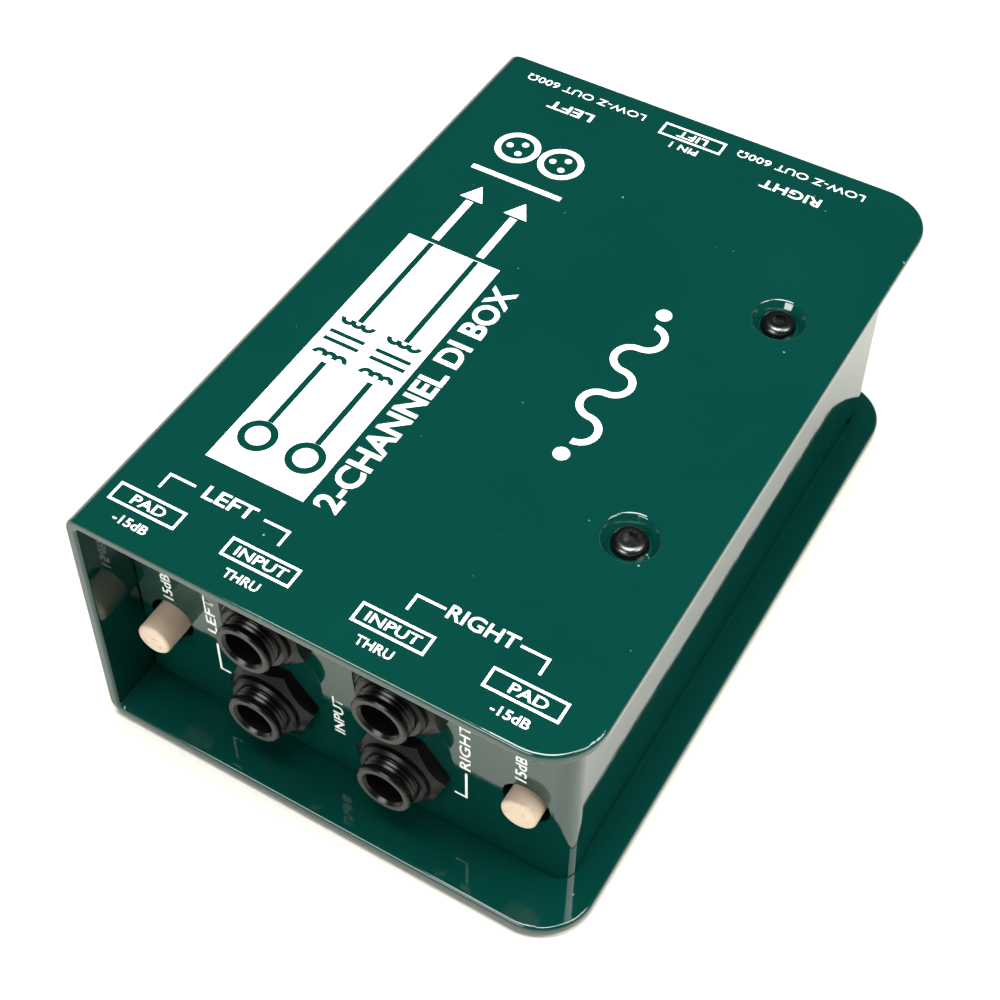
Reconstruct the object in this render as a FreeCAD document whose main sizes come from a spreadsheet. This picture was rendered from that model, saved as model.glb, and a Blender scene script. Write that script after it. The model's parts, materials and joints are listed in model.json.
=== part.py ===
import FreeCAD, Part
import Sketcher
import math
import os
import re

# Stereo direct injection box. +X is to the right of someone who faces the jacks, +Y is
# towards the output connectors, +Z is up. The origin is under the middle of the base pad.

document = FreeCAD.newDocument("DirectBox")
sheet = document.addObject("Spreadsheet::Sheet", "Sizes")

driving_sizes = {
    # how far a cut runs past the face that it opens
    "CutMargin": 1.0,
    # outer shell
    "ShellWidth": 84.0,
    "ShellDepth": 127.0,
    "ShellHeight": 50.0,
    "ShellSheet": 2.0,
    "ShellInnerBend": 1.0,
    "PlateCorner": 9.0,
    "SheetEdge": 0.6,
    # pressed dishes that sink the case screws
    "ScrewInset": 12.4,
    "ScrewPitch": 50.8,
    "DishRadius": 4.5,
    "DishFloor": 3.2,
    "DishDepth": 1.7,
    "DimpleWall": 1.6,
    "DishLip": 0.6,
    # inner chassis
    "ChassisSheet": 1.5,
    "ChassisInnerBend": 1.5,
    "FrontRecess": 9.5,
    "RearRecess": 3.8,
    "SideRecess": 4.65,
    "PanelGap": 0.3,
    "FlangeWidth": 15.0,
    "FlangeRelief": 6.0,
    # base pad
    "PadThickness": 1.0,
    "PadInset": 4.0,
    "PadCorner": 6.0,
    "PadHole": 6.0,
    # button-head case screws and their threaded inserts
    "ScrewRadius": 1.5,
    "ScrewHole": 1.7,
    "ScrewHead": 2.85,
    "ScrewHeadHeight": 1.65,
    "ScrewHeadRound": 1.2,
    "ScrewLength": 6.0,
    "ScrewSocket": 2.0,
    "ScrewSocketDepth": 1.0,
    "InsertRadius": 3.0,
    "InsertHeight": 2.2,
    "ThreadGap": 0.03,
    # jacks
    "JackCentre": -2.8,
    "JackPitch": 23.5,
    "JackSpread": 18.5,
    "JackMiddle": 24.55,
    "PlugBore": 3.22,
    "MouthRadius": 3.65,
    "MouthChamfer": 0.5,
    "BushRadius": 4.7,
    "BushGap": 0.06,
    "NoseLength": 6.5,
    "NoseChamfer": 0.25,
    "ThreadPitch": 0.7,
    "ThreadDepth": 0.3,
    "ThreadStart": 0.4,
    "JackWidth": 16.0,
    "JackRoof": 8.0,
    "JackLength": 30.0,
    "BoreDepth": 27.0,
    "NutFlats": 14.0,
    "NutHeight": 2.8,
    "NutCorner": 1.2,
    "ShoulderRadius": 6.0,
    "ShoulderHeight": 1.1,
    "ShoulderChamfer": 0.45,
    "ShoulderStep": 0.3,
    "LeafThickness": 0.4,
    "LeafHeight": 1.9,
    "LeafLength": 6.0,
    "LeafGap": 0.1,
    "LeafRoom": 0.5,
    "LeafPin": 1.0,
    "LeafSlotWall": 1.0,
    "FirstLeaf": 10.0,
    "LeafPitch": 5.0,
    "BoreWall": 0.4,
    "PinLength": 1.4,
    "FootWall": 1.0,
    "FootRecess": 1.8,
    # boards
    "BoardThickness": 1.6,
    "BoardMargin": 1.3,
    "BoardFront": 4.5,
    "BoardJoin": 0.9,
    "RearBoardHeight": 37.0,
    "HeaderPitch": 2.54,
    "HeaderPin": 0.64,
    "HeaderSize": 2.5,
    # latching buttons
    "LeftButtonInset": 5.8,
    "RightButtonInset": 7.65,
    "ButtonZ": 20.5,
    "ButtonHole": 4.0,
    "CapRadius": 2.95,
    "CapRound": 0.6,
    "ButtonProud": 5.1,
    "LiftProud": 3.2,
    "LiftX": -2.2,
    "ButtonTravel": 2.5,
    "ButtonStopGap": 0.5,
    "StemWidth": 3.0,
    "StemGap": 0.05,
    "StemSocket": 4.0,
    "StemEntry": 4.0,
    "SwitchSetback": 6.0,
    "SwitchWidth": 7.4,
    "SwitchDrop": 3.2,
    "SwitchLength": 12.0,
    "SwitchWell": 10.5,
    "SwitchPin": 0.5,
    "SwitchPinStart": 2.0,
    "SwitchPinPitch": 2.5,
    "LiftPinPitch": 2.0,
    "SpringRadius": 1.05,
    "SpringWire": 0.2,
    "SpringTurns": 5.0,
    # output connectors
    "OutletShift": -0.5,
    "OutletMiddle": 26.0,
    "OutletFlangeWidth": 26.0,
    "OutletFlangeHeight": 31.0,
    "OutletFlange": 1.6,
    "OutletCorner": 2.5,
    "BarrelRadius": 11.8,
    "BarrelBore": 9.65,
    "BarrelDepth": 19.7,
    "BarrelHoleGap": 0.25,
    "KeyWidth": 2.4,
    "KeyHeight": 1.5,
    "ContactFloor": 4.0,
    "ContactRadius": 1.15,
    "ContactCircle": 4.05,
    "ContactRise": 1.0,
    "ContactSetback": 3.0,
    "ContactTip": 0.92,
    "InsertGap": 0.05,
    "TailRadius": 0.6,
    "OutletScrewX": 9.5,
    "OutletScrewZ": 12.0,
    "OutletHead": 2.7,
    "OutletHeadHeight": 1.4,
    "OutletHeadRound": 0.84,
    "OutletSocketDepth": 0.9,
    "ScrewEndProud": 0.6,
    "OutletNutFlats": 5.5,
    "OutletNutHeight": 2.4,
    # transformers
    "CoilY": 5.0,
    "CanWidth": 22.0,
    "CanDepth": 26.0,
    "CanHeight": 17.0,
    "CanSheet": 0.6,
    "CanBase": 2.0,
    "CanPinInset": 2.0,
    "CoreWidth": 10.0,
    "CoreDepth": 20.0,
    "CoreHeight": 15.0,
    "CoreLeg": 2.5,
    "WindowHeight": 3.0,
    "WindowDepth": 14.0,
    "CoilGap": 0.1,
    "CoilBulge": 3.0,
    # small components
    "ResistorRadius": 1.15,
    "ResistorLength": 6.2,
    "ResistorPitch": 3.6,
    "ResistorInset": 5.9,
    "ResistorSetback": 4.9,
    "LeadRadius": 0.3,
    "LeadSpan": 9.0,
    "CapacitorWidth": 3.0,
    "CapacitorLength": 7.2,
    "CapacitorHeight": 8.0,
    "CapacitorInset": 5.4,
    "CapacitorY": 4.0,
    "CapacitorPitch": 13.0,
}

for row, (alias, number) in enumerate(driving_sizes.items(), start=1):
    sheet.set(f"A{row}", alias)
    sheet.set(f"B{row}", str(number))
    sheet.setAlias(f"B{row}", alias)
document.recompute()

# Places that several pieces share, as formulas of the sizes above
shell_middle = "(PadThickness + ShellHeight / 2)"
plate_under = "(ShellHeight / 2 - ShellSheet)"
flange_face = "(ShellHeight / 2 - ShellSheet - DishDepth)"
dish_seat = "(ShellHeight / 2 - DishDepth)"
panel_left = "(-ShellWidth / 2 + ShellSheet + PanelGap)"
panel_right = "(ShellWidth / 2 - SideRecess)"
panel_front = "(-ShellDepth / 2 + FrontRecess)"
panel_rear = "(ShellDepth / 2 - RearRecess)"
screw_x = "(ShellWidth / 2 - ScrewInset)"
board_under = "(JackMiddle - BoardThickness / 2)"
board_top = "(JackMiddle + BoardThickness / 2)"
jack_to_board = "(JackSpread / 2 - BoardThickness / 2)"
board_left = f"({panel_left} + BoardMargin)"
board_right = f"({panel_right} - ChassisSheet - BoardMargin)"
board_middle = f"(({board_left} + {board_right}) / 2)"
board_rear = "(ShellDepth / 2 - RearRecess - BarrelDepth - BoardThickness - BoardJoin)"
rear_board_back = "(ShellDepth / 2 - RearRecess - BarrelDepth)"

along_y = FreeCAD.Rotation(FreeCAD.Vector(1, 0, 0), -90)
along_minus_y = FreeCAD.Rotation(FreeCAD.Vector(1, 0, 0), 90)
upright = FreeCAD.Rotation()
upside_down = FreeCAD.Rotation(FreeCAD.Vector(0, 1, 0), 180)
facing_down = FreeCAD.Rotation(FreeCAD.Vector(1, 0, 0), 180)
facing_rear = FreeCAD.Rotation(FreeCAD.Vector(0, 0, 1), 180)

# how far round each jack nut came to rest when it was tightened, in degrees
nut_turns = {"left_input": 37, "left_thru": 8, "right_input": 36, "right_thru": 7}

header_pin_count = 6
nose_ridges = 3

subparts = []


def bind(thing, setting, formula):
    """Ties a setting to the sheet, whose size names all start with a capital."""
    thing.setExpression(setting, re.sub(r"[A-Z][A-Za-z]+", r"Sizes.\g<0>", formula))


def put(thing, x="0", y="0", z="0", turn=upright):
    thing.Placement = FreeCAD.Placement(FreeCAD.Vector(), turn)
    for axis, formula in zip("xyz", (x, y, z)):
        bind(thing, f"Placement.Base.{axis}", formula)
    return thing


def finished(thing, name):
    thing.Label = name
    subparts.append(thing)
    return thing


def new_body(name, x="0", y="0", z="0", turn=upright):
    body = document.addObject("PartDesign::Body", name)
    put(body, x, y, z, turn)
    return body


def primitive(owner, kind, sizes, x, y, z, turn):
    """A primitive as a feature of a body, or on its own where the owner is the document."""
    if owner == document:
        thing = owner.addObject(f"Part::{kind}", kind)
    else:
        thing = owner.newObject(f"PartDesign::{kind}", kind)
    for setting, formula in sizes.items():
        bind(thing, setting, formula)
    return put(thing, x, y, z, turn)


def block(owner, width, depth, height, x="0", y="0", z="0", kind="Box"):
    """A box that is centred on x and stands on y and z."""
    sizes = {"Length": width, "Width": depth, "Height": height}
    return primitive(owner, kind, sizes, f"{x} - ({width}) / 2", y, z, upright)


def rod(owner, radius, length, x="0", y="0", z="0", turn=along_y, kind="Cylinder"):
    sizes = {"Radius": radius, "Height": length}
    return primitive(owner, kind, sizes, x, y, z, turn)


def hexagon(owner, flats, height, x="0", y="0", z="0", turn=along_y, kind="Prism"):
    sizes = {"Circumradius": f"{flats} / sqrt(3)", "Height": height}
    thing = primitive(owner, kind, sizes, x, y, z, turn)
    thing.Polygon = 6
    return thing


def fuse(pieces):
    thing = document.addObject("Part::MultiFuse", "Fusion")
    thing.Shapes = pieces
    return thing


def cut(base, tool):
    thing = document.addObject("Part::Cut", "Cut")
    thing.Base = base
    thing.Tool = tool
    return thing


def group(pieces):
    """Separate solids that share one node."""
    thing = document.addObject("Part::Compound", "Group")
    thing.Links = pieces
    return thing


def sketch_on(body, plane, x="0", y="0", z="0"):
    sketch = body.newObject("Sketcher::SketchObject", "Sketch")
    support = [feature for feature in body.Origin.OriginFeatures if feature.Role == plane]
    sketch.AttachmentSupport = [(support[0], "")]
    sketch.MapMode = "FlatFace"
    for axis, formula in zip("xyz", (x, y, z)):
        bind(sketch, f"AttachmentOffset.Base.{axis}", formula)
    return sketch


def draw_outline(sketch, corners):
    """A closed outline with every corner held by two dimensions."""
    count = len(corners)
    angles = [math.tau * i / count for i in range(count)]
    ring = [FreeCAD.Vector(math.cos(angle), math.sin(angle)) for angle in angles]
    for i in range(count):
        sketch.addGeometry(Part.LineSegment(ring[i], ring[(i + 1) % count]))
    for i in range(count):
        sketch.addConstraint(Sketcher.Constraint("Coincident", i, 2, (i + 1) % count, 1))
    for i, (across, up) in enumerate(corners):
        first = sketch.addConstraint(Sketcher.Constraint("DistanceX", -1, 1, i, 1, ring[i].x))
        second = sketch.addConstraint(Sketcher.Constraint("DistanceY", -1, 1, i, 1, ring[i].y))
        bind(sketch, f"Constraints[{first}]", across)
        bind(sketch, f"Constraints[{second}]", up)


def pad_outline(body, plane, corners, length):
    """An outline thickened to both sides of its plane."""
    sketch = sketch_on(body, plane)
    draw_outline(sketch, corners)
    pad = body.newObject("PartDesign::Pad", "Pad")
    pad.Profile = sketch
    bind(pad, "Length", length)
    pad.SideType = "Symmetric"
    return pad


def turn_outline(body, plane, corners, kind="Revolution", x="0", y="0", z="0"):
    """An outline turned round its sketch's vertical axis."""
    sketch = sketch_on(body, plane, x, y, z)
    draw_outline(sketch, corners)
    feature = body.newObject(f"PartDesign::{kind}", kind)
    feature.Profile = sketch
    feature.ReferenceAxis = (sketch, ["V_Axis"])
    feature.Angle = 360
    return feature


def round_edges(body, radius, wanted, kind="Fillet", setting="Radius"):
    """Rounds, or bevels, the edges of the body so far that the test picks out."""
    document.recompute()
    base = body.Tip
    box = base.Shape.BoundBox
    names = [f"Edge{i}" for i, edge in enumerate(base.Shape.Edges, start=1) if wanted(edge, box)]
    feature = body.newObject(f"PartDesign::{kind}", kind)
    feature.Base = (base, names)
    bind(feature, setting, radius)
    return feature


def runs_along(edge, axis):
    """True for a straight edge that is parallel to an axis."""
    if not isinstance(edge.Curve, Part.Line):
        return False
    return abs(getattr(edge.Curve.Direction, axis)) > 0.999


def near(first, second):
    return abs(first - second) < 0.001


# ---- sheet metal case ----

def shell_outline():
    far, near_side = "ShellWidth / 2", "-ShellWidth / 2"
    wall = "-ShellWidth / 2 + ShellSheet"
    half = "ShellHeight / 2"
    outer = [(far, half), (near_side, half), (near_side, f"-{half}"), (far, f"-{half}")]
    inner = [(far, f"-{plate_under}"), (wall, f"-{plate_under}"), (wall, plate_under), (far, plate_under)]
    return outer + inner


def press_dish(body, y, side):
    """Side is 1 in the top plate and -1 in the bottom plate."""
    dimple = [
        ("0", f"{side} * {plate_under}"),
        ("DishRadius + DimpleWall", f"{side} * {plate_under}"),
        ("DishFloor + DimpleWall", f"{side} * {flange_face}"),
        ("0", f"{side} * {flange_face}"),
    ]
    turn_outline(body, "XZ_Plane", dimple, "Revolution", x=screw_x, z=f"-({y})")
    hollow = [
        ("0", f"{side} * (ShellHeight / 2 + CutMargin)"),
        ("DishRadius", f"{side} * (ShellHeight / 2 + CutMargin)"),
        ("DishRadius", f"{side} * ShellHeight / 2"),
        ("DishFloor", f"{side} * {dish_seat}"),
        ("ScrewHole", f"{side} * {dish_seat}"),
        ("ScrewHole", f"{side} * ({flange_face} - CutMargin)"),
        ("0", f"{side} * ({flange_face} - CutMargin)"),
    ]
    turn_outline(body, "XZ_Plane", hollow, "Groove", x=screw_x, z=f"-({y})")


def build_outer_shell():
    body = new_body("outer_shell", z=shell_middle)
    pad_outline(body, "XZ_Plane", shell_outline(), "ShellDepth")
    round_edges(body, "ShellInnerBend + ShellSheet", lambda edge, box: runs_along(edge, "y")
                and near(edge.CenterOfMass.x, box.XMin))
    round_edges(body, "ShellInnerBend", lambda edge, box: runs_along(edge, "y")
                and near(edge.CenterOfMass.x, box.XMin + driving_sizes["ShellSheet"]))
    round_edges(body, "PlateCorner", lambda edge, box: runs_along(edge, "z")
                and near(edge.CenterOfMass.x, box.XMax))
    for side in (1, -1):
        for y in ("ScrewPitch / 2", "-ScrewPitch / 2"):
            press_dish(body, y, side)
    round_edges(body, "DishLip", lambda edge, box: edge.isClosed()
                and near(abs(edge.CenterOfMass.z), box.ZMax))
    round_edges(body, "SheetEdge", lambda edge, box: not runs_along(edge, "z")
                and on_sheet_rim(edge, body))
    finished(body, "outer_shell")


def on_sheet_rim(edge, body):
    """True for the edges of the sheet's own thickness: its open ends and its round corners."""
    box = body.Tip.Shape.BoundBox
    for face in body.Tip.Shape.Faces:
        middle = face.CenterOfMass
        flat = isinstance(face.Surface, Part.Plane)
        at_end = flat and (near(abs(middle.y), box.YMax) or near(middle.x, box.XMax))
        at_corner = isinstance(face.Surface, Part.Cylinder) and middle.x > 0.9 * box.XMax
        if (at_end or at_corner) and any(edge.isSame(other) for other in face.Edges):
            return True
    return False


def build_inner_chassis():
    body = new_body("inner_chassis", z=shell_middle)
    inside_right = f"({panel_right} - ChassisSheet)"
    inside_front = f"({panel_front} + ChassisSheet)"
    inside_rear = f"({panel_rear} - ChassisSheet)"
    outer = [
        (panel_left, panel_front),
        (panel_right, panel_front),
        (panel_right, panel_rear),
        (panel_left, panel_rear),
    ]
    inner = [
        (panel_left, inside_rear),
        (inside_right, inside_rear),
        (inside_right, inside_front),
        (panel_left, inside_front),
    ]
    height = f"(2 * {plate_under} - 2 * PanelGap)"
    pad_outline(body, "XY_Plane", outer + inner, height)
    round_edges(body, "ChassisInnerBend + ChassisSheet", lambda edge, box: runs_along(edge, "z")
                and near(edge.CenterOfMass.x, box.XMax))
    round_edges(body, "ChassisInnerBend", lambda edge, box: runs_along(edge, "z")
                and near(edge.CenterOfMass.x, box.XMax - driving_sizes["ChassisSheet"]))
    # the right wall stops at the flanges that the dimples of the plates rest on
    span = f"({panel_rear} - {panel_front} - 2 * FlangeRelief)"
    start = f"({panel_front} + FlangeRelief)"
    wall_x = f"({panel_right} - ChassisSheet / 2)"
    flange_x = f"({panel_right} - FlangeWidth / 2)"
    relief = "(2 * DishDepth)"
    for low in (flange_face, f"(-{flange_face} - {relief})"):
        block(body, "ChassisSheet + 2 * CutMargin", span, relief, wall_x, start, low, "SubtractiveBox")
    for low in (f"({flange_face} - ChassisSheet)", f"-{flange_face}"):
        block(body, "FlangeWidth", span, "ChassisSheet", flange_x, start, low, "AdditiveBox")
    round_edges(body, "ChassisSheet", lambda edge, box: runs_along(edge, "y")
                and edge.Length > box.YLength / 2 and near(edge.CenterOfMass.x, box.XMax))
    drill_chassis(body, inside_rear)
    finished(body, "inner_chassis")


def drill_chassis(body, inside_rear):
    """Holes for the jacks, buttons, output connectors and case screws."""
    through = "(ChassisSheet + 2 * CutMargin)"
    front = f"({panel_front} - CutMargin)"
    rear = f"({inside_rear} - CutMargin)"
    button_z = f"ButtonZ - {shell_middle}"
    outlet_z = f"OutletMiddle - {shell_middle}"
    kind = "SubtractiveCylinder"
    for x, z in jack_places():
        rod(body, "BushRadius + BushGap", through, x, front, f"{z} - {shell_middle}", kind=kind)
    for x in button_places():
        rod(body, "ButtonHole", through, x, front, button_z, kind=kind)
    rod(body, "ButtonHole", through, "LiftX", rear, button_z, kind=kind)
    for x in outlet_places():
        rod(body, "BarrelRadius + BarrelHoleGap", through, x, rear, outlet_z, kind=kind)
        for across, up in outlet_screw_offsets():
            rod(body, "ScrewHole", through, f"{x} + {across}", rear, f"{outlet_z} + {up}", kind=kind)
    for y in ("ScrewPitch / 2", "-ScrewPitch / 2"):
        for low in (f"{flange_face} - ChassisSheet - CutMargin", f"-{flange_face} - CutMargin"):
            rod(body, "ScrewHole", through, screw_x, y, low, upright, kind)


def build_base_pad():
    body = new_body("base_pad", z="PadThickness / 2")
    across, along = "(ShellWidth / 2 - PadInset)", "(ShellDepth / 2 - PadInset)"
    corners = [(across, along), (f"-{across}", along), (f"-{across}", f"-{along}"), (across, f"-{along}")]
    pad_outline(body, "XY_Plane", corners, "PadThickness")
    round_edges(body, "PadCorner", lambda edge, box: runs_along(edge, "z"))
    for y in ("ScrewPitch / 2", "-ScrewPitch / 2"):
        rod(body, "PadHole", "2 * PadThickness", screw_x, y, "-PadThickness", upright,
            "SubtractiveCylinder")
    finished(body, "base_pad")


def case_screw(y, side):
    """A button-head screw whose head sits on the floor of its dish."""
    turn = upright if side == 1 else facing_down
    body = new_body("case_screw", screw_x, y, f"{shell_middle} + {side} * {dish_seat}", turn)
    rod(body, "ScrewHead", "ScrewHeadHeight", turn=upright, kind="AdditiveCylinder")
    round_edges(body, "ScrewHeadRound", lambda edge, box: edge.isClosed()
                and near(edge.CenterOfMass.z, box.ZMax))
    rod(body, "ScrewRadius", "ScrewLength", z="-ScrewLength", turn=upright, kind="AdditiveCylinder")
    hexagon(body, "ScrewSocket", "ScrewSocketDepth + CutMargin", z="ScrewHeadHeight - ScrewSocketDepth",
            turn=upright, kind="SubtractivePrism")
    return body


def build_case_fasteners():
    sides = ("ScrewPitch / 2", "-ScrewPitch / 2")
    finished(group([case_screw(y, 1) for y in sides]), "case_screws_top")
    finished(group([case_screw(y, -1) for y in sides]), "case_screws_bottom")
    inserts = []
    upper = f"{shell_middle} + {flange_face} - ChassisSheet - InsertHeight"
    lower = f"{shell_middle} - {flange_face} + ChassisSheet"
    for low in (upper, lower):
        for y in sides:
            ring = rod(document, "InsertRadius", "InsertHeight", screw_x, y, low, upright)
            bore = rod(document, "ScrewRadius + ThreadGap", "InsertHeight", screw_x, y, low, upright)
            inserts.append(cut(ring, bore))
    finished(group(inserts), "clinch_nuts")


# ---- jacks ----

def jack_places():
    columns = ("JackCentre - JackPitch / 2", "JackCentre + JackPitch / 2")
    rows = ("JackMiddle + JackSpread / 2", "JackMiddle - JackSpread / 2")
    return [(x, z) for x in columns for z in rows]


def leaf_places():
    """Side of the bore and distance behind the panel of each contact leaf."""
    return [(1, "FirstLeaf"), (1, "(FirstLeaf + 2 * LeafPitch)"), (-1, "(FirstLeaf + LeafPitch)")]


def nose_outline():
    """Half section of the threaded nose, from the body to the rim."""
    points = [("0", "ChassisSheet"), ("BushRadius", "ChassisSheet")]
    start = "(-NutHeight - ShoulderHeight + ThreadStart)"
    for i in range(nose_ridges):
        points.append(("BushRadius", f"{start} - {i} * ThreadPitch"))
        points.append(("BushRadius - ThreadDepth", f"{start} - {i + 0.5} * ThreadPitch"))
    points.append(("BushRadius", f"{start} - {nose_ridges} * ThreadPitch"))
    points.append(("BushRadius", "-NoseLength + NoseChamfer"))
    points.append(("BushRadius - NoseChamfer", "-NoseLength"))
    points.append(("0", "-NoseLength"))
    return points


def bore_outline():
    return [
        ("0", "-NoseLength - CutMargin"),
        ("MouthRadius", "-NoseLength - CutMargin"),
        ("MouthRadius", "-NoseLength"),
        ("PlugBore", "-NoseLength + MouthChamfer"),
        ("PlugBore", "BoreDepth"),
        ("0", "BoreDepth"),
    ]


def build_jack(name, x, z, turn):
    body = new_body(f"jack_body_{name}", x, panel_front, z, turn)
    foot = f"-{jack_to_board}"
    block(body, "JackWidth", "JackLength", f"JackRoof + {jack_to_board}", y="ChassisSheet", z=foot,
          kind="AdditiveBox")
    block(body, "JackWidth - 2 * FootWall", "JackLength - 2 * FootWall", "FootRecess",
          y="ChassisSheet + FootWall", z=foot, kind="SubtractiveBox")
    turn_outline(body, "XY_Plane", nose_outline())
    turn_outline(body, "XY_Plane", bore_outline(), "Groove")
    contacts = []
    for side, depth in leaf_places():
        cut_leaf_slot(body, side, depth)
        contacts.append(contact_leaf(side, depth))
    finished(body, f"jack_body_{name}")
    finished(put(group(contacts), x, panel_front, z, turn), f"jack_contacts_{name}")
    build_jack_nut(name, x, z, turn)


def cut_leaf_slot(body, side, depth):
    """A slot beside the bore, open towards the board, and a window from it into the bore."""
    slot_inner = "(PlugBore + BoreWall)"
    slot_width = f"(JackWidth / 2 - LeafSlotWall - {slot_inner})"
    slot_x = f"{side} * ({slot_inner} + {slot_width} / 2)"
    block(body, slot_width, "LeafLength + 2 * LeafRoom", f"{jack_to_board} + LeafHeight", slot_x,
          f"{depth} - LeafRoom", f"-{jack_to_board}", "SubtractiveBox")
    block(body, "BoreWall + CutMargin", "LeafLength - 2 * LeafRoom", "LeafHeight",
          f"{side} * (PlugBore + BoreWall / 2)", f"{depth} + LeafRoom", "-LeafHeight / 2", "SubtractiveBox")


def contact_leaf(side, depth):
    x = f"{side} * (PlugBore + BoreWall + LeafGap + LeafThickness / 2)"
    tip = f"({jack_to_board} + BoardThickness + PinLength)"
    leaf = block(document, "LeafThickness", "LeafLength", "2 * LeafHeight", x, depth, "-LeafHeight")
    pin = block(document, "LeafThickness", "LeafPin", tip, x, f"{depth} + LeafLength / 2", f"-{tip}")
    return fuse([leaf, pin])


def build_jack_nut(name, x, z, turn):
    body = new_body(f"jack_nut_{name}", x, panel_front, z, turn)
    tightened = FreeCAD.Rotation(FreeCAD.Vector(0, -1, 0), nut_turns[name]).multiply(along_minus_y)
    hexagon(body, "NutFlats", "NutHeight", turn=tightened, kind="AdditivePrism")
    reach = "(NutFlats / sqrt(3))"
    corner = [
        ("ShoulderRadius", "-NutHeight - CutMargin"),
        (f"{reach} + CutMargin", "-NutHeight - CutMargin"),
        (f"{reach} + CutMargin", "-NutHeight + NutCorner"),
        (reach, "-NutHeight + NutCorner"),
        ("ShoulderRadius + ShoulderStep", "-NutHeight"),
        ("ShoulderRadius", "-NutHeight"),
    ]
    turn_outline(body, "XY_Plane", corner, "Groove")
    top = "(-NutHeight - ShoulderHeight)"
    shoulder = [
        ("0", "-NutHeight / 2"),
        ("ShoulderRadius", "-NutHeight / 2"),
        ("ShoulderRadius", f"{top} + ShoulderChamfer"),
        ("ShoulderRadius - ShoulderChamfer", top),
        ("0", top),
    ]
    turn_outline(body, "XY_Plane", shoulder)
    rod(body, "BushRadius + BushGap", "NutHeight + ShoulderHeight + 2 * CutMargin", y="CutMargin",
        turn=along_minus_y, kind="SubtractiveCylinder")
    finished(body, f"jack_nut_{name}")


def build_jacks():
    names = ("left_input", "left_thru", "right_input", "right_thru")
    for name, (x, z) in zip(names, jack_places()):
        build_jack(name, x, z, upright if name.endswith("input") else upside_down)


# ---- latching buttons ----

def button_places():
    return (f"({panel_left} + LeftButtonInset)", f"({panel_right} - RightButtonInset)")


def build_button(name, x, y, turn, proud, setback, pressed):
    """Cap, stem and return spring. Setback is the distance from the panel's face to the switch."""
    shift = "ButtonTravel" if pressed else "0"
    cap_rear = f"({setback} - ButtonTravel - ButtonStopGap)"
    cap = new_body(f"button_cap_{name}", x, f"{y[0]} + {y[1]} * ({shift})", "ButtonZ", turn)
    rod(cap, "CapRadius", f"{proud} + {cap_rear}", y=f"-({proud})", kind="AdditiveCylinder")
    round_edges(cap, "CapRound", lambda edge, box: edge.isClosed()
                and near(edge.CenterOfMass.y, box.YMin))
    block(cap, "StemWidth", "StemSocket + CutMargin", "StemWidth", y=f"{cap_rear} - StemSocket",
          z="-StemWidth / 2", kind="SubtractiveBox")
    finished(cap, f"button_cap_{name}")
    stem_length = f"(StemSocket + {setback} - {cap_rear} + StemEntry)"
    stem = new_body(f"switch_stem_{name}", x, f"{y[0]} + {y[1]} * ({shift})", "ButtonZ", turn)
    block(stem, "StemWidth", stem_length, "StemWidth", y=f"{cap_rear} - StemSocket", z="-StemWidth / 2",
          kind="AdditiveBox")
    finished(stem, f"switch_stem_{name}")
    build_spring(name, x, y, turn, setback, shift)


def build_spring(name, x, y, turn, setback, shift):
    start = f"({setback} + StemEntry + {shift} + SpringWire)"
    length = f"({setback} + SwitchWell - {start} - SpringWire)"
    helix = document.addObject("Part::Helix", "Coil")
    bind(helix, "Radius", "SpringRadius")
    bind(helix, "Height", length)
    bind(helix, "Pitch", f"{length} / SpringTurns")
    helix.SegmentLength = 1
    section = document.addObject("Part::Circle", "Wire")
    bind(section, "Radius", "SpringWire")
    put(section, "SpringRadius", turn=along_minus_y)
    sweep = document.addObject("Part::Sweep", "Spring")
    sweep.Sections = [section]
    sweep.Spine = helix
    sweep.Solid = True
    sweep.Frenet = True
    put(sweep, x, f"{y[0]} + {y[1]} * {start}", "ButtonZ", turn.multiply(along_y))
    finished(sweep, f"switch_spring_{name}")


def build_pad_switch(name, x, pressed):
    y = (panel_front, "1")
    build_button(name, x, y, upright, "ButtonProud", "SwitchSetback", pressed)
    front = f"({panel_front} + SwitchSetback)"
    height = f"SwitchDrop + {board_under} - ButtonZ"
    housing = block(document, "SwitchWidth", "SwitchLength", height, x, front, "ButtonZ - SwitchDrop")
    finished(cut(housing, stem_well(x, f"{front} - CutMargin")), f"switch_body_{name}")
    pins = []
    for side in (-1, 1):
        for step in range(3):
            pins.append(block(document, "SwitchPin", "SwitchPin", "BoardThickness + PinLength",
                              f"{x} + {side} * SwitchWidth / 3",
                              f"{front} + SwitchPinStart + {step} * SwitchPinPitch", board_under))
    finished(group(pins), f"switch_pins_{name}")


def stem_well(x, start):
    """The square hole of a switch, from just outside its open end to its floor."""
    size = "(StemWidth + 2 * StemGap)"
    return block(document, size, "SwitchWell + CutMargin", size, x, start, f"ButtonZ - {size} / 2")


def build_lift_switch():
    y = (panel_rear, "-1")
    setback = "(BarrelDepth - SwitchLength)"
    build_button("lift", "LiftX", y, facing_rear, "LiftProud", setback, False)
    housing = block(document, "SwitchWidth", "SwitchLength", "2 * SwitchDrop", "LiftX", rear_board_back,
                    "ButtonZ - SwitchDrop")
    well = stem_well("LiftX", f"{rear_board_back} + SwitchLength - SwitchWell")
    finished(cut(housing, well), "switch_body_lift")
    pins = []
    for side in (-1, 1):
        for step in (-1, 0, 1):
            pins.append(block(document, "SwitchPin", "BoardThickness + PinLength", "SwitchPin",
                              f"LiftX + {side} * SwitchWidth / 3",
                              f"{rear_board_back} - BoardThickness - PinLength",
                              f"ButtonZ + {step} * LiftPinPitch - SwitchPin / 2"))
    finished(group(pins), "switch_pins_lift")


# ---- output connectors ----

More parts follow.
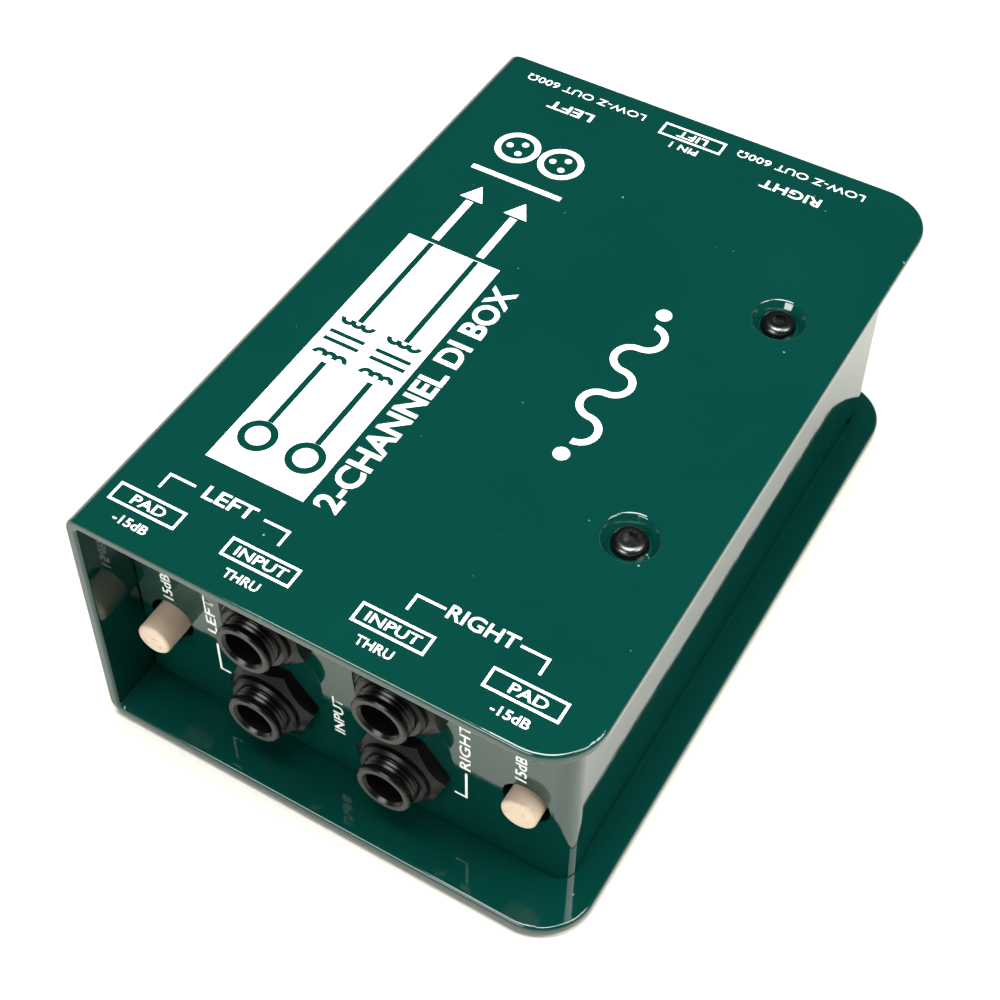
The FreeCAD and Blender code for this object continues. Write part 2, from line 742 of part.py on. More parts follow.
def outlet_places():
    """Each connector is midway between the lift button and its own side of the panel."""
    left = f"((LiftX - CapRadius + {panel_left}) / 2 + OutletShift)"
    right = f"((LiftX + CapRadius + {panel_right}) / 2 + OutletShift)"
    return (left, right)


def outlet_screw_offsets():
    return [("OutletScrewX * -1", "OutletScrewZ"), ("OutletScrewX", "OutletScrewZ * -1")]


def contact_offsets():
    return [("ContactCircle * -1", "ContactRise"), ("ContactCircle", "ContactRise"),
            ("0", "ContactRise - ContactCircle")]


def build_outlet(name, x):
    shell = new_body(f"xlr_shell_{name}", x, panel_rear, "OutletMiddle")
    block(shell, "OutletFlangeWidth", "OutletFlange", "OutletFlangeHeight", z="-OutletFlangeHeight / 2",
          kind="AdditiveBox")
    round_edges(shell, "OutletCorner", lambda edge, box: runs_along(edge, "y"))
    rod(shell, "BarrelRadius", "BarrelDepth + OutletFlange / 2", y="-BarrelDepth", kind="AdditiveCylinder")
    rod(shell, "BarrelBore", "BarrelDepth + OutletFlange + 2 * CutMargin", y="-BarrelDepth - CutMargin",
        kind="SubtractiveCylinder")
    key_height = "(KeyHeight + (BarrelRadius - BarrelBore) / 2)"
    block(shell, "KeyWidth", "BarrelDepth + OutletFlange - ContactFloor", key_height,
          y="-BarrelDepth + ContactFloor", z="BarrelBore - KeyHeight", kind="AdditiveBox")
    for across, up in outlet_screw_offsets():
        rod(shell, "ScrewHole", "OutletFlange + 2 * CutMargin", across, "-CutMargin", up,
            kind="SubtractiveCylinder")
    finished(shell, f"xlr_shell_{name}")

    pins = []
    for across, up in contact_offsets():
        pin = new_body("contact", f"{x} + {across}", panel_rear, f"OutletMiddle + {up}")
        rod(pin, "ContactRadius", "BarrelDepth - ContactSetback", y="-BarrelDepth", kind="AdditiveCylinder")
        round_edges(pin, "ContactTip", lambda edge, box: edge.isClosed()
                    and near(edge.CenterOfMass.y, box.YMax))
        rod(pin, "TailRadius", "BoardThickness + PinLength", y="-BarrelDepth - BoardThickness - PinLength",
            kind="AdditiveCylinder")
        pins.append(pin)
    contacts = finished(group(pins), f"xlr_contacts_{name}")
    disc = rod(document, "BarrelBore - InsertGap", "ContactFloor", x, f"{panel_rear} - BarrelDepth",
               "OutletMiddle")
    finished(cut(disc, contacts), f"xlr_insert_{name}")
    return contacts


def outlet_screw(x, z):
    body = new_body("outlet_screw", x, panel_rear, z)
    rod(body, "OutletHead", "OutletHeadHeight", y="OutletFlange", kind="AdditiveCylinder")
    round_edges(body, "OutletHeadRound", lambda edge, box: edge.isClosed()
                and near(edge.CenterOfMass.y, box.YMax))
    reach = "(ChassisSheet + OutletNutHeight + ScrewEndProud)"
    rod(body, "ScrewRadius", f"{reach} + OutletFlange", y=f"-{reach}", kind="AdditiveCylinder")
    hexagon(body, "ScrewSocket", "OutletSocketDepth + CutMargin",
            y="OutletFlange + OutletHeadHeight - OutletSocketDepth", kind="SubtractivePrism")
    return body


def build_outlet_fasteners():
    screws = []
    nuts = []
    for x in outlet_places():
        for across, up in outlet_screw_offsets():
            centre_x, centre_z = f"{x} + {across}", f"OutletMiddle + {up}"
            screws.append(outlet_screw(centre_x, centre_z))
            low = f"{panel_rear} - ChassisSheet - OutletNutHeight"
            nut = hexagon(document, "OutletNutFlats", "OutletNutHeight", centre_x, low, centre_z)
            bore = rod(document, "ScrewRadius + ThreadGap", "OutletNutHeight", centre_x, low, centre_z)
            nuts.append(cut(nut, bore))
    finished(group(screws), "xlr_screws")
    finished(group(nuts), "xlr_nuts")


# ---- transformers, small components and boards ----

def build_transformer(name, x):
    base = block(document, "CanWidth", "CanDepth", "CanBase", x, "CoilY - CanDepth / 2", board_top)
    legs = []
    for across in (-1, 1):
        for along in (-1, 0, 1):
            legs.append(block(document, "HeaderPin", "HeaderPin", "BoardThickness + PinLength",
                              f"{x} + {across} * (CanWidth / 2 - CanPinInset)",
                              f"CoilY + {along} * CanDepth / 3", f"{board_under} - PinLength"))
    foot = finished(fuse([base] + legs), f"transformer_base_{name}")
    can_z = f"({board_top} + CanBase)"
    outside = block(document, "CanWidth", "CanDepth", "CanHeight", x, "CoilY - CanDepth / 2", can_z)
    inside = block(document, "CanWidth - 2 * CanSheet", "CanDepth - 2 * CanSheet", "CanHeight - CanSheet",
                   x, "CoilY - CanDepth / 2 + CanSheet", can_z)
    finished(cut(outside, inside), f"transformer_can_{name}")
    stack = block(document, "CoreWidth", "CoreDepth", "CoreHeight", x, "CoilY - CoreDepth / 2", can_z)
    leg_z = f"({can_z} + CoreHeight / 2)"
    windows = []
    for low in ("CoreLeg", "-CoreLeg - WindowHeight"):
        windows.append(block(document, "CoreWidth + 2 * CutMargin", "WindowDepth", "WindowHeight", x,
                             "CoilY - WindowDepth / 2", f"{leg_z} + {low}"))
    finished(cut(stack, fuse(windows)), f"transformer_core_{name}")
    around = "(CoreLeg + WindowHeight - CoilGap)"
    winding = block(document, "CoreWidth + 2 * CoilBulge", "WindowDepth - 2 * CoilGap", f"2 * {around}",
                    x, "CoilY - WindowDepth / 2 + CoilGap", f"{leg_z} - {around}")
    hollow = block(document, "CoreWidth + 2 * CoilGap", "WindowDepth", "2 * CoreLeg + 2 * CoilGap", x,
                   "CoilY - WindowDepth / 2", f"{leg_z} - CoreLeg - CoilGap")
    finished(cut(winding, hollow), f"transformer_coil_{name}")
    return foot


def resistor(x, y):
    axis = f"({board_top} + ResistorRadius)"
    legs = [rod(document, "LeadRadius", f"{axis} - {board_under} + PinLength", x,
                f"{y} + {side} * LeadSpan / 2", f"{board_under} - PinLength", upright) for side in (-1, 1)]
    lead = rod(document, "LeadRadius", "LeadSpan", x, f"{y} - LeadSpan / 2", axis)
    barrel = rod(document, "ResistorRadius", "ResistorLength", x, f"{y} - ResistorLength / 2", axis)
    return fuse([barrel, lead] + legs)


def capacitor(x, y):
    case = block(document, "CapacitorWidth", "CapacitorLength", "CapacitorHeight", x,
                 f"{y} - CapacitorLength / 2", board_top)
    legs = [rod(document, "LeadRadius", "BoardThickness + PinLength", x,
                f"{y} + {side} * CapacitorLength / 3", f"{board_under} - PinLength", upright)
            for side in (-1, 1)]
    return fuse([case] + legs)


def capacitor_rows():
    return (f"({board_left} + CapacitorInset)", f"({board_right} - CapacitorInset)")


def transformer_places():
    """Each transformer is midway between the middle of the board and its row of capacitors."""
    left, right = capacitor_rows()
    return (f"(({board_middle} + {left} + CapacitorWidth / 2) / 2)",
            f"(({board_middle} + {right} - CapacitorWidth / 2) / 2)")


def build_small_components():
    resistors = []
    capacitors = []
    y = f"({panel_front} + ChassisSheet + JackLength + ResistorSetback)"
    for middle in (f"({board_left} + ResistorInset)", f"({board_right} - ResistorInset)"):
        for step in (-1, 0, 1):
            resistors.append(resistor(f"({middle} + {step} * ResistorPitch)", y))
    for x in capacitor_rows():
        for step in (-1, 0, 1):
            capacitors.append(capacitor(x, f"(CapacitorY + {step} * CapacitorPitch)"))
    return [finished(group(resistors), "resistors"), finished(group(capacitors), "capacitors")]


def build_link():
    """Right-angle header that joins the two boards."""
    centre_y = f"({board_rear} - HeaderSize / 2)"
    centre_z = f"({board_top} + HeaderSize / 2)"
    height = f"{centre_z} + HeaderPin / 2 - {board_under} + PinLength"
    pins = []
    for i in range(header_pin_count):
        x = f"(LiftX + {i - (header_pin_count - 1) / 2} * HeaderPitch)"
        down = block(document, "HeaderPin", "HeaderPin", height, x, f"{centre_y} - HeaderPin / 2",
                     f"{board_under} - PinLength")
        over = block(document, "HeaderPin", f"{rear_board_back} - {centre_y}", "HeaderPin", x, centre_y,
                     f"{centre_z} - HeaderPin / 2")
        pins.append(fuse([down, over]))
    link_pins = finished(group(pins), "link_pins")
    strip = block(document, f"{header_pin_count} * HeaderPitch", "HeaderSize", "HeaderSize", "LiftX",
                  f"{board_rear} - HeaderSize", board_top)
    finished(cut(strip, link_pins), "link_header")
    return link_pins


def build_boards(through_main, through_rear):
    wide = f"({board_right} - {board_left})"
    front = f"({panel_front} + ChassisSheet + BoardFront)"
    main = block(document, wide, f"{board_rear} - {front}", "BoardThickness", board_middle, front,
                 board_under)
    finished(cut(main, fuse(through_main)), "main_board")
    rear = block(document, wide, "BoardThickness", "RearBoardHeight", board_middle,
                 f"{rear_board_back} - BoardThickness", "OutletMiddle - RearBoardHeight / 2")
    finished(cut(rear, fuse(through_rear)), "rear_board")


def node(name):
    return next(thing for thing in subparts if thing.Label == name)


build_outer_shell()
build_inner_chassis()
build_base_pad()
build_case_fasteners()
build_jacks()
left_button, right_button = button_places()
build_pad_switch("pad_left", left_button, pressed=False)
build_pad_switch("pad_right", right_button, pressed=True)
build_lift_switch()
outlet_contacts = [build_outlet(name, x) for name, x in zip(("left", "right"), outlet_places())]
build_outlet_fasteners()
transformer_feet = [build_transformer(name, x)
                    for name, x in zip(("left", "right"), transformer_places())]
small_components = build_small_components()
link = build_link()
jack_contacts = [thing for thing in subparts if thing.Label.startswith("jack_contacts")]
pad_pins = [node("switch_pins_pad_left"), node("switch_pins_pad_right")]
build_boards(jack_contacts + pad_pins + transformer_feet + small_components + [link],
             outlet_contacts + [node("switch_pins_lift"), link])

document.recompute()
for thing in document.Objects:
    if "Invalid" in thing.State or "Error" in thing.State:
        raise RuntimeError(f"{thing.Label} failed: {thing.State}")
for thing in subparts:
    if thing.Shape.isNull() or not thing.Shape.isValid():
        raise RuntimeError(f"{thing.Label} has no valid shape")

os.makedirs("parts", exist_ok=True)
for thing in subparts:
    thing.Shape.exportStep(f"parts/{thing.Label}.step")
    print(thing.Label, len(thing.Shape.Solids), round(thing.Shape.Volume, 2))
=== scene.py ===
import bpy
import json
import math
from mathutils import Matrix, Vector


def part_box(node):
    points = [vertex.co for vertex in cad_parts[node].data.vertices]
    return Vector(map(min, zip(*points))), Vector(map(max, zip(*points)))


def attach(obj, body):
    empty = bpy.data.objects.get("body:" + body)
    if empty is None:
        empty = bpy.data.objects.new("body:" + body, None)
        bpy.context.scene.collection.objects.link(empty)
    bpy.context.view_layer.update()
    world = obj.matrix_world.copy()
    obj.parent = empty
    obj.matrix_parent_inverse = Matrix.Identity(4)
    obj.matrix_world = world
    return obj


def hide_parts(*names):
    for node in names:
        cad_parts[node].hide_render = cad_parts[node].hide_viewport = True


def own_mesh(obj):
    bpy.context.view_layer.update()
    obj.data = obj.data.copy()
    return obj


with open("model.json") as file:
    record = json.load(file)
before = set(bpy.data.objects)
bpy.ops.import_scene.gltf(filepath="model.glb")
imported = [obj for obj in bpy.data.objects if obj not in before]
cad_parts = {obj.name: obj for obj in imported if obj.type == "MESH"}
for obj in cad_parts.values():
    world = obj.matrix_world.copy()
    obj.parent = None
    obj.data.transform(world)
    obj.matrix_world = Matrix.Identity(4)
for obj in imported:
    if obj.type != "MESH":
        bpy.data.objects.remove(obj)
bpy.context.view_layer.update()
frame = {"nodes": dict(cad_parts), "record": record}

# Stereo direct injection box: enamelled steel case with printed legends, phone jacks,
# latching buttons and output connectors. Lengths are in millimetres for the printing and
# the camera, and in metres for the finishes and the studio.

nodes = frame["nodes"]
mm = 0.001
mergeReach = 0.001 * mm


def selectOnly(things):
    bpy.ops.object.select_all(action="DESELECT")
    for thing in things:
        thing.select_set(True)
    bpy.context.view_layer.objects.active = things[0]


def applyModifier(thing, kind, **settings):
    selectOnly([thing])
    modifier = thing.modifiers.new(kind.title(), kind)
    for name, value in settings.items():
        setattr(modifier, name, value)
    bpy.ops.object.modifier_apply(modifier=modifier.name)


# Opens a mesh in edit mode with all of it selected
def editAll(thing):
    selectOnly([thing])
    bpy.ops.object.mode_set(mode="EDIT")
    bpy.ops.mesh.select_all(action="SELECT")


def endEdit():
    bpy.ops.object.mode_set(mode="OBJECT")


def joined(things, name):
    selectOnly(things)
    if len(things) > 1:
        bpy.ops.object.join()
    piece = bpy.context.view_layer.objects.active
    piece.name = name
    piece.data.name = name
    return piece


def paint(thing, material):
    thing.data.materials.clear()
    thing.data.materials.append(material)


# Applies the move to the mesh, so that the object stays at the origin
def moved(thing, matrix):
    selectOnly([thing])
    thing.matrix_world = matrix
    bpy.ops.object.transform_apply()
    return thing


# A place on a printed face, in millimetres
def placed(u, v, degrees=0.0):
    turn = Matrix.Rotation(math.radians(degrees), 4, "Z")
    return Matrix.Translation((u * mm, v * mm, 0)) @ turn


def newGroup(name, inputs, outputs):
    group = bpy.data.node_groups.new(name, "ShaderNodeTree")
    for label, kind, value in inputs:
        socket = group.interface.new_socket(label, in_out="INPUT", socket_type=f"NodeSocket{kind}")
        socket.default_value = value
    for label, kind in outputs:
        group.interface.new_socket(label, in_out="OUTPUT", socket_type=f"NodeSocket{kind}")
    start = group.nodes.new("NodeGroupInput")
    end = group.nodes.new("NodeGroupOutput")
    return group, start, end


def mathNode(tree, operation, first, second=None, third=None):
    node = tree.nodes.new("ShaderNodeMath")
    node.operation = operation
    for i, value in enumerate((first, second, third)):
        if isinstance(value, (int, float)):
            node.inputs[i].default_value = value
        elif value is not None:
            tree.links.new(value, node.inputs[i])
    return node.outputs[0]


def noiseNode(tree, place, scale, detail=3.0, roughness=0.5):
    node = tree.nodes.new("ShaderNodeTexNoise")
    node.inputs["Detail"].default_value = detail
    node.inputs["Roughness"].default_value = roughness
    tree.links.new(place, node.inputs["Vector"])
    tree.links.new(scale, node.inputs["Scale"])
    return node.outputs["Fac"]


def softStep(tree, value, low, high):
    node = tree.nodes.new("ShaderNodeMapRange")
    node.interpolation_type = "SMOOTHSTEP"
    tree.links.new(value, node.inputs["Value"])
    for label, edge in (("From Min", low), ("From Max", high)):
        if isinstance(edge, (int, float)):
            node.inputs[label].default_value = edge
        else:
            tree.links.new(edge, node.inputs[label])
    return node.outputs["Result"]


# Fine surface relief, slow blotches and a roughness that follows both
def makeGrain():
    tree, start, end = newGroup("surfaceGrain", [
        ("Size", "Float", 0.001), ("Blotch", "Float", 0.02),
        ("Roughness", "Float", 0.4), ("Spread", "Float", 0.1),
    ], [("Height", "Float"), ("Blotches", "Float"), ("Roughness", "Float")])
    place = tree.nodes.new("ShaderNodeTexCoord").outputs["Object"]
    fine = noiseNode(tree, place, mathNode(tree, "DIVIDE", 1.0, start.outputs["Size"]))
    broad = noiseNode(tree, place, mathNode(tree, "DIVIDE", 1.0, start.outputs["Blotch"]), 4.0)
    mixed = mathNode(tree, "MULTIPLY_ADD", fine, 0.4, mathNode(tree, "MULTIPLY", broad, 0.6))
    centred = mathNode(tree, "SUBTRACT", mixed, 0.5)
    rough = mathNode(tree, "MULTIPLY_ADD", centred, start.outputs["Spread"],
                     start.outputs["Roughness"])
    tree.links.new(fine, end.inputs["Height"])
    tree.links.new(broad, end.inputs["Blotches"])
    tree.links.new(rough, end.inputs["Roughness"])
    return tree


# Sparse round specks, such as dust under a coat of paint
def makeSpecks():
    tree, start, end = newGroup("specks", [
        ("Spacing", "Float", 0.004), ("Radius", "Float", 0.0002), ("Amount", "Float", 0.3),
    ], [("Mask", "Float")])
    place = tree.nodes.new("ShaderNodeTexCoord").outputs["Object"]
    cells = tree.nodes.new("ShaderNodeTexVoronoi")
    tree.links.new(place, cells.inputs["Vector"])
    tree.links.new(mathNode(tree, "DIVIDE", 1.0, start.outputs["Spacing"]), cells.inputs["Scale"])
    shade = tree.nodes.new("ShaderNodeSeparateColor")
    tree.links.new(cells.outputs["Color"], shade.inputs["Color"])
    chosen = mathNode(tree, "LESS_THAN", shade.outputs[0], start.outputs["Amount"])
    edge = mathNode(tree, "DIVIDE", start.outputs["Radius"], start.outputs["Spacing"])
    edge = mathNode(tree, "MULTIPLY", edge, mathNode(tree, "ADD", shade.outputs[1], 0.3))
    spot = softStep(tree, cells.outputs["Distance"], edge, mathNode(tree, "MULTIPLY", edge, 0.4))
    tree.links.new(mathNode(tree, "MULTIPLY", chosen, spot), end.inputs["Mask"])
    return tree


# Patchy mask along the faces of a box, on the axes whose weight is 1
def makeRimWear():
    tree, start, end = newGroup("rimWear", [
        ("Low", "Vector", (0, 0, 0)), ("High", "Vector", (0, 0, 0)), ("Axes", "Vector", (1, 1, 0)),
        ("Width", "Float", 0.001), ("Patch", "Float", 0.004), ("Amount", "Float", 0.4),
    ], [("Mask", "Float")])
    place = tree.nodes.new("ShaderNodeTexCoord").outputs["Object"]
    parts = {}
    for label, source in (("place", place), ("low", start.outputs["Low"]),
                          ("high", start.outputs["High"]), ("axes", start.outputs["Axes"])):
        split = tree.nodes.new("ShaderNodeSeparateXYZ")
        tree.links.new(source, split.inputs[0])
        parts[label] = split.outputs
    nearest = None
    for i in range(3):
        below = mathNode(tree, "SUBTRACT", parts["place"][i], parts["low"][i])
        above = mathNode(tree, "SUBTRACT", parts["high"][i], parts["place"][i])
        gap = mathNode(tree, "MINIMUM", below, above)
        unused = mathNode(tree, "SUBTRACT", 1.0, parts["axes"][i])
        gap = mathNode(tree, "ADD", gap, unused)
        nearest = gap if nearest is None else mathNode(tree, "MINIMUM", nearest, gap)
    band = softStep(tree, nearest, start.outputs["Width"], 0.0)
    patches = noiseNode(tree, place, mathNode(tree, "DIVIDE", 1.0, start.outputs["Patch"]), 6.0, 0.65)
    limit = mathNode(tree, "SUBTRACT", 1.0, start.outputs["Amount"])
    patches = softStep(tree, patches, limit, mathNode(tree, "ADD", limit, 0.12))
    tree.links.new(mathNode(tree, "MULTIPLY", band, patches), end.inputs["Mask"])
    return tree


# Fine parallel lines of drawn, turned or brushed metal. Stretch is small along the lines
def makeDrawnLines():
    tree, start, end = newGroup("drawnLines", [
        ("Stretch", "Vector", (1, 1, 0.05)), ("Size", "Float", 0.0004),
        ("Roughness", "Float", 0.3), ("Spread", "Float", 0.15),
    ], [("Height", "Float"), ("Roughness", "Float")])
    place = tree.nodes.new("ShaderNodeTexCoord").outputs["Object"]
    squeeze = tree.nodes.new("ShaderNodeVectorMath")
    squeeze.operation = "MULTIPLY"
    tree.links.new(place, squeeze.inputs[0])
    tree.links.new(start.outputs["Stretch"], squeeze.inputs[1])
    scale = mathNode(tree, "DIVIDE", 1.0, start.outputs["Size"])
    lines = noiseNode(tree, squeeze.outputs[0], scale, 4.0, 0.6)
    centred = mathNode(tree, "SUBTRACT", lines, 0.5)
    rough = mathNode(tree, "MULTIPLY_ADD", centred, start.outputs["Spread"],
                     start.outputs["Roughness"])
    tree.links.new(lines, end.inputs["Height"])
    tree.links.new(rough, end.inputs["Roughness"])
    return tree


effects = {
    "grain": makeGrain(),
    "specks": makeSpecks(),
    "rim": makeRimWear(),
    "lines": makeDrawnLines(),
}
print("shared effects made")


def newMaterial(name, color, roughness, metallic=0.0):
    material = bpy.data.materials.new(name)
    material.use_nodes = True
    shader = material.node_tree.nodes["Principled BSDF"]
    shader.inputs["Base Color"].default_value = (*color, 1)
    shader.inputs["Roughness"].default_value = roughness
    shader.inputs["Metallic"].default_value = metallic
    return material, material.node_tree, shader


def useEffect(tree, effect, **values):
    node = tree.nodes.new("ShaderNodeGroup")
    node.node_tree = effects[effect]
    for label, value in values.items():
        node.inputs[label].default_value = value
    return node.outputs


def relief(tree, shader, height, distance, strength, under=None):
    bump = tree.nodes.new("ShaderNodeBump")
    bump.inputs["Distance"].default_value = distance
    bump.inputs["Strength"].default_value = strength
    tree.links.new(height, bump.inputs["Height"])
    if under is not None:
        tree.links.new(under, bump.inputs["Normal"])
    tree.links.new(bump.outputs["Normal"], shader.inputs["Normal"])
    return bump.outputs["Normal"]


def blended(tree, factor, first, second):
    node = tree.nodes.new("ShaderNodeMix")
    node.data_type = "RGBA"
    tree.links.new(factor, node.inputs[0])
    for socket, color in ((node.inputs[6], first), (node.inputs[7], second)):
        if isinstance(color, tuple):
            socket.default_value = (*color, 1)
        else:
            tree.links.new(color, socket)
    return node.outputs[2]


enamelLook = {
    "deep": (0.0005, 0.0250, 0.0192),
    "light": (0.0009, 0.0320, 0.0248),
    "speck": (0.15, 0.23, 0.21),
    "speckSpacing": 0.0032,
    "speckRadius": 0.0002,
    "speckAmount": 0.4,
    "primer": (0.13, 0.15, 0.13),
    "peel": 0.0030,
    "peelDepth": 0.000020,
    "blotch": 0.03,
    "roughness": 0.045,
    "rimWidth": 0.0007,
    "rimPatch": 0.005,
    "rimAmount": 0.36,
    "foldDistance": 1.0,
}


# Wear follows the free edges of the shell. Its folded side, at low x, has none, so there
# the edge of the wear is set far away
def enamel(name, box=None):
    look = enamelLook
    material, tree, shader = newMaterial(name, look["deep"], look["roughness"])
    grain = useEffect(tree, "grain", Size=look["peel"], Blotch=look["blotch"],
                      Roughness=look["roughness"], Spread=0.05)
    specks = useEffect(tree, "specks", Spacing=look["speckSpacing"],
                       Radius=look["speckRadius"], Amount=look["speckAmount"])
    color = blended(tree, grain["Blotches"], look["deep"], look["light"])
    color = blended(tree, specks["Mask"], color, look["speck"])
    if box:
        low, high = box
        wear = useEffect(tree, "rim", Low=(low.x - look["foldDistance"], low.y, low.z),
                         High=tuple(high), Axes=(1, 1, 0), Width=look["rimWidth"],
                         Patch=look["rimPatch"], Amount=look["rimAmount"])
        color = blended(tree, wear["Mask"], color, look["primer"])
    tree.links.new(color, shader.inputs["Base Color"])
    tree.links.new(grain["Roughness"], shader.inputs["Roughness"])
    normal = relief(tree, shader, grain["Height"], look["peelDepth"], 0.5)
    relief(tree, shader, specks["Mask"], 0.00002, 0.5, under=normal)
    return material


# Moulded plastic with a fine grain, slow colour change and a few scuffs
def plastic(name, color, worn, roughness, grainSize, depth, specular=0.5):
    material, tree, shader = newMaterial(name, color, roughness)
    grain = useEffect(tree, "grain", Size=grainSize, Blotch=0.006, Roughness=roughness, Spread=0.12)
    scuffs = useEffect(tree, "specks", Spacing=0.0012, Radius=0.0001, Amount=0.25)
    tint = blended(tree, grain["Blotches"], color, worn)
    tree.links.new(blended(tree, scuffs["Mask"], tint, worn), shader.inputs["Base Color"])
    tree.links.new(grain["Roughness"], shader.inputs["Roughness"])
    relief(tree, shader, grain["Height"], depth, 0.5)
    shader.inputs["Specular IOR Level"].default_value = specular
    return material


# Metal with drawn or turned lines, and slow staining where a stain is given
def metal(name, color, roughness, stretch, lineSize, depth, stain=None):
    material, tree, shader = newMaterial(name, color, roughness, 1.0)
    lines = useEffect(tree, "lines", Stretch=stretch, Size=lineSize, Roughness=roughness, Spread=0.2)
    grain = useEffect(tree, "grain", Size=0.0008, Blotch=0.007, Roughness=roughness, Spread=0.1)
    dull = stain or tuple(0.8 * value for value in color)
    tree.links.new(blended(tree, grain["Blotches"], color, dull), shader.inputs["Base Color"])
    tree.links.new(lines["Roughness"], shader.inputs["Roughness"])
    relief(tree, shader, lines["Height"], depth, 0.4)
    return material


capLook = {
    "ivory": (0.64, 0.505, 0.385),
    "yellowed": (0.57, 0.435, 0.32),
    "dirt": (0.27, 0.21, 0.155),
    "roughness": 0.34,
    "rimWidth": 0.0008,
    "rimPatch": 0.0012,
    "rimAmount": 0.42,
}


# Warm ivory, a little yellowed in blotches, with finger dirt round the rim of its own face
def capPlastic(node):
    look = capLook
    material, tree, shader = newMaterial(f"ivory_{node}", look["ivory"], look["roughness"])
    grain = useEffect(tree, "grain", Size=0.0004, Blotch=0.004, Roughness=look["roughness"],
                      Spread=0.15)
    low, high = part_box(node)
    rim = useEffect(tree, "rim", Low=tuple(low), High=tuple(high), Axes=(0, 1, 0),
                    Width=look["rimWidth"], Patch=look["rimPatch"], Amount=look["rimAmount"])
    color = blended(tree, grain["Blotches"], look["ivory"], look["yellowed"])
    tree.links.new(blended(tree, rim["Mask"], color, look["dirt"]), shader.inputs["Base Color"])
    tree.links.new(grain["Roughness"], shader.inputs["Roughness"])
    relief(tree, shader, grain["Height"], 0.00001, 0.5)
    return material


padLook = {
    "color": (0.018, 0.018, 0.019),
    "dark": (0.014, 0.014, 0.015),
    "pale": (0.03, 0.03, 0.031),
    "dust": (0.12, 0.12, 0.11),
    "roughness": 0.85,
}


# Dull foamed rubber with a pebbled face
def paddedRubber():
    look = padLook
    material, tree, shader = newMaterial("padRubber", look["color"], look["roughness"])
    grain = useEffect(tree, "grain", Size=0.0009, Blotch=0.02, Roughness=look["roughness"],
                      Spread=0.15)
    dust = useEffect(tree, "specks", Spacing=0.004, Radius=0.0003, Amount=0.3)
    color = blended(tree, grain["Blotches"], look["dark"], look["pale"])
    tree.links.new(blended(tree, dust["Mask"], color, look["dust"]), shader.inputs["Base Color"])
    tree.links.new(grain["Roughness"], shader.inputs["Roughness"])
    relief(tree, shader, grain["Height"], 0.0003, 0.8)
    return material


# Green laminate with the faint rows of its copper tracks under the mask
def circuitBoard():
    material, tree, shader = newMaterial("circuitBoard", (0.02, 0.14, 0.05), 0.4)
    grain = useEffect(tree, "grain", Size=0.0005, Blotch=0.01, Roughness=0.4, Spread=0.1)
    place = tree.nodes.new("ShaderNodeTexCoord").outputs["Object"]
    tracks = tree.nodes.new("ShaderNodeTexWave")
    tracks.inputs["Scale"].default_value = 120.0
    tracks.inputs["Distortion"].default_value = 0.4
    tree.links.new(place, tracks.inputs["Vector"])
    color = blended(tree, softStep(tree, tracks.outputs["Fac"], 0.7, 0.8), (0.018, 0.12, 0.045),
                    (0.03, 0.20, 0.07))
    tree.links.new(color, shader.inputs["Base Color"])
    tree.links.new(grain["Roughness"], shader.inputs["Roughness"])
    relief(tree, shader, tracks.outputs["Fac"], 0.00003, 0.5)
    return material


inkLook = {
    "color": (0.86, 0.87, 0.84),
    "fresh": (0.88, 0.89, 0.86),
    "dull": (0.80, 0.82, 0.79),
    "pinhole": (0.10, 0.22, 0.19),
    "roughness": 0.42,
}


# Screen-printed white with pinholes and a slightly uneven film
def printedInk():
    look = inkLook
    material, tree, shader = newMaterial("printedInk", look["color"], look["roughness"])
    grain = useEffect(tree, "grain", Size=0.0003, Blotch=0.006, Roughness=look["roughness"],
                      Spread=0.15)
    pinholes = useEffect(tree, "specks", Spacing=0.0016, Radius=0.00007, Amount=0.5)
    color = blended(tree, grain["Blotches"], look["fresh"], look["dull"])
    color = blended(tree, pinholes["Mask"], color, look["pinhole"])
    tree.links.new(color, shader.inputs["Base Color"])
    tree.links.new(grain["Roughness"], shader.inputs["Roughness"])
    relief(tree, shader, grain["Height"], 0.000006, 0.6)
    return material


# Small along the way in which drawn, turned or wound lines run
alongX = (0.04, 1, 1)
alongY = (1, 0.04, 1)
alongZ = (1, 1, 0.04)
inTurns = (0.04, 1, 0.04)
allRound = (1, 1, 1)
